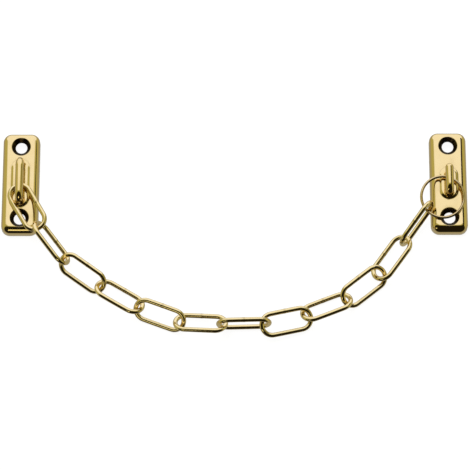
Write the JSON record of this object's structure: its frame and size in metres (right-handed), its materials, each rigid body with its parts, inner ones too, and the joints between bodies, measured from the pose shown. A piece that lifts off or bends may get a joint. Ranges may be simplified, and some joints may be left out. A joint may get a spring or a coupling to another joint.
{
  "type": "door chain guard",
  "caption": "Polished brass door chain guard: a plate with a closed staple, an oval-link chain ending in a round ring, and a plate with an open hook.",
  "frame": {"origin": "centre of the whole guard in X and Y, on the plane of the plates' backs", "axes": "+X from the staple plate to the hook plate, +Y up when fitted, +Z away from the mounting surface"},
  "size_m": [0.246, 0.1138, 0.0172],
  "materials": {
    "plate_brass": "polished and lacquered",
    "rod_brass": "polished",
    "wire_brass": "bright plated wire",
    "ring_brass": "bright plated thin wire"
  },
  "bodies": {
    "staple_plate": {"staple_plate": "plate_brass", "staple": "rod_brass"},
    "link_01": {"link_01": "wire_brass"},
    "link_02": {"link_02": "wire_brass"},
    "link_03": {"link_03": "wire_brass"},
    "link_04": {"link_04": "wire_brass"},
    "link_05": {"link_05": "wire_brass"},
    "link_06": {"link_06": "wire_brass"},
    "link_07": {"link_07": "wire_brass"},
    "link_08": {"link_08": "wire_brass"},
    "link_09": {"link_09": "wire_brass"},
    "link_10": {"link_10": "wire_brass"},
    "link_11": {"link_11": "wire_brass"},
    "link_12": {"link_12": "wire_brass"},
    "ring": {"ring": "ring_brass"},
    "hook_plate": {"hook_plate": "plate_brass", "hook": "rod_brass"}
  },
  "joints": [
    {"name": "link_01_lift", "type": "hinge", "parent": "staple_plate", "child": "link_01", "pos_m": [-0.1149, 0.02326, 0.0097], "axis": [-0.866, -0.5001, 0], "range_deg": [0, 35]},
    {"name": "link_02_swing", "type": "hinge", "parent": "link_01", "child": "link_02", "pos_m": [-0.1032, 0.003, 0.00943], "axis": [0, 0, -1], "range_deg": [-10, 30]},
    {"name": "link_03_swing", "type": "hinge", "parent": "link_02", "child": "link_03", "pos_m": [-0.08898, -0.01522, 0.00576], "axis": [0, 0, 1], "range_deg": [-45, 25]},
    {"name": "link_04_swing", "type": "hinge", "parent": "link_03", "child": "link_04", "pos_m": [-0.06994, -0.02879, 0.00471], "axis": [0, 0, -1], "range_deg": [-25, 30]},
    {"name": "link_05_swing", "type": "hinge", "parent": "link_04", "child": "link_05", "pos_m": [-0.04989, -0.04084, 0.00493], "axis": [0, 0, 1], "range_deg": [-40, 20]},
    {"name": "link_06_swing", "type": "hinge", "parent": "link_05", "child": "link_06", "pos_m": [-0.02862, -0.04879, 0.00493], "axis": [0, 0, -1], "range_deg": [-45, 45]},
    {"name": "link_07_swing", "type": "hinge", "parent": "link_06", "child": "link_07", "pos_m": [-0.00645, -0.05034, 0.00675], "axis": [0, 0, 1], "range_deg": [-45, 35]},
    {"name": "link_08_swing", "type": "hinge", "parent": "link_07", "child": "link_08", "pos_m": [0.01594, -0.04976, 0.00675], "axis": [0, 0, -1], "range_deg": [-40, 25]},
    {"name": "link_09_swing", "type": "hinge", "parent": "link_08", "child": "link_09", "pos_m": [0.03748, -0.04438, 0.00416], "axis": [0, 0, 1], "range_deg": [-10, 40]},
    {"name": "link_10_swing", "type": "hinge", "parent": "link_09", "child": "link_10", "pos_m": [0.0586, -0.03607, 0.00416], "axis": [0, 0, -1], "range_deg": [-20, 45]},
    {"name": "link_11_swing", "type": "hinge", "parent": "link_10", "child": "link_11", "pos_m": [0.07597, -0.02225, 0.00416], "axis": [0, 0, 1], "range_deg": [-45, 45]},
    {"name": "link_12_swing", "type": "hinge", "parent": "link_11", "child": "link_12", "pos_m": [0.08897, -0.00468, 0.00671], "axis": [0, 0, -1], "range_deg": [-45, 45]},
    {"name": "ring_swing", "type": "hinge", "parent": "link_12", "child": "ring", "pos_m": [0.10207, 0.01303, 0.01131], "axis": [0, 0, 1], "range_deg": [-25, 45]},
    {"name": "hook_release", "type": "slide", "parent": "ring", "child": "hook_plate", "axis": [0, -1, 0], "range_m": [0, 0.0085]}
  ]
}
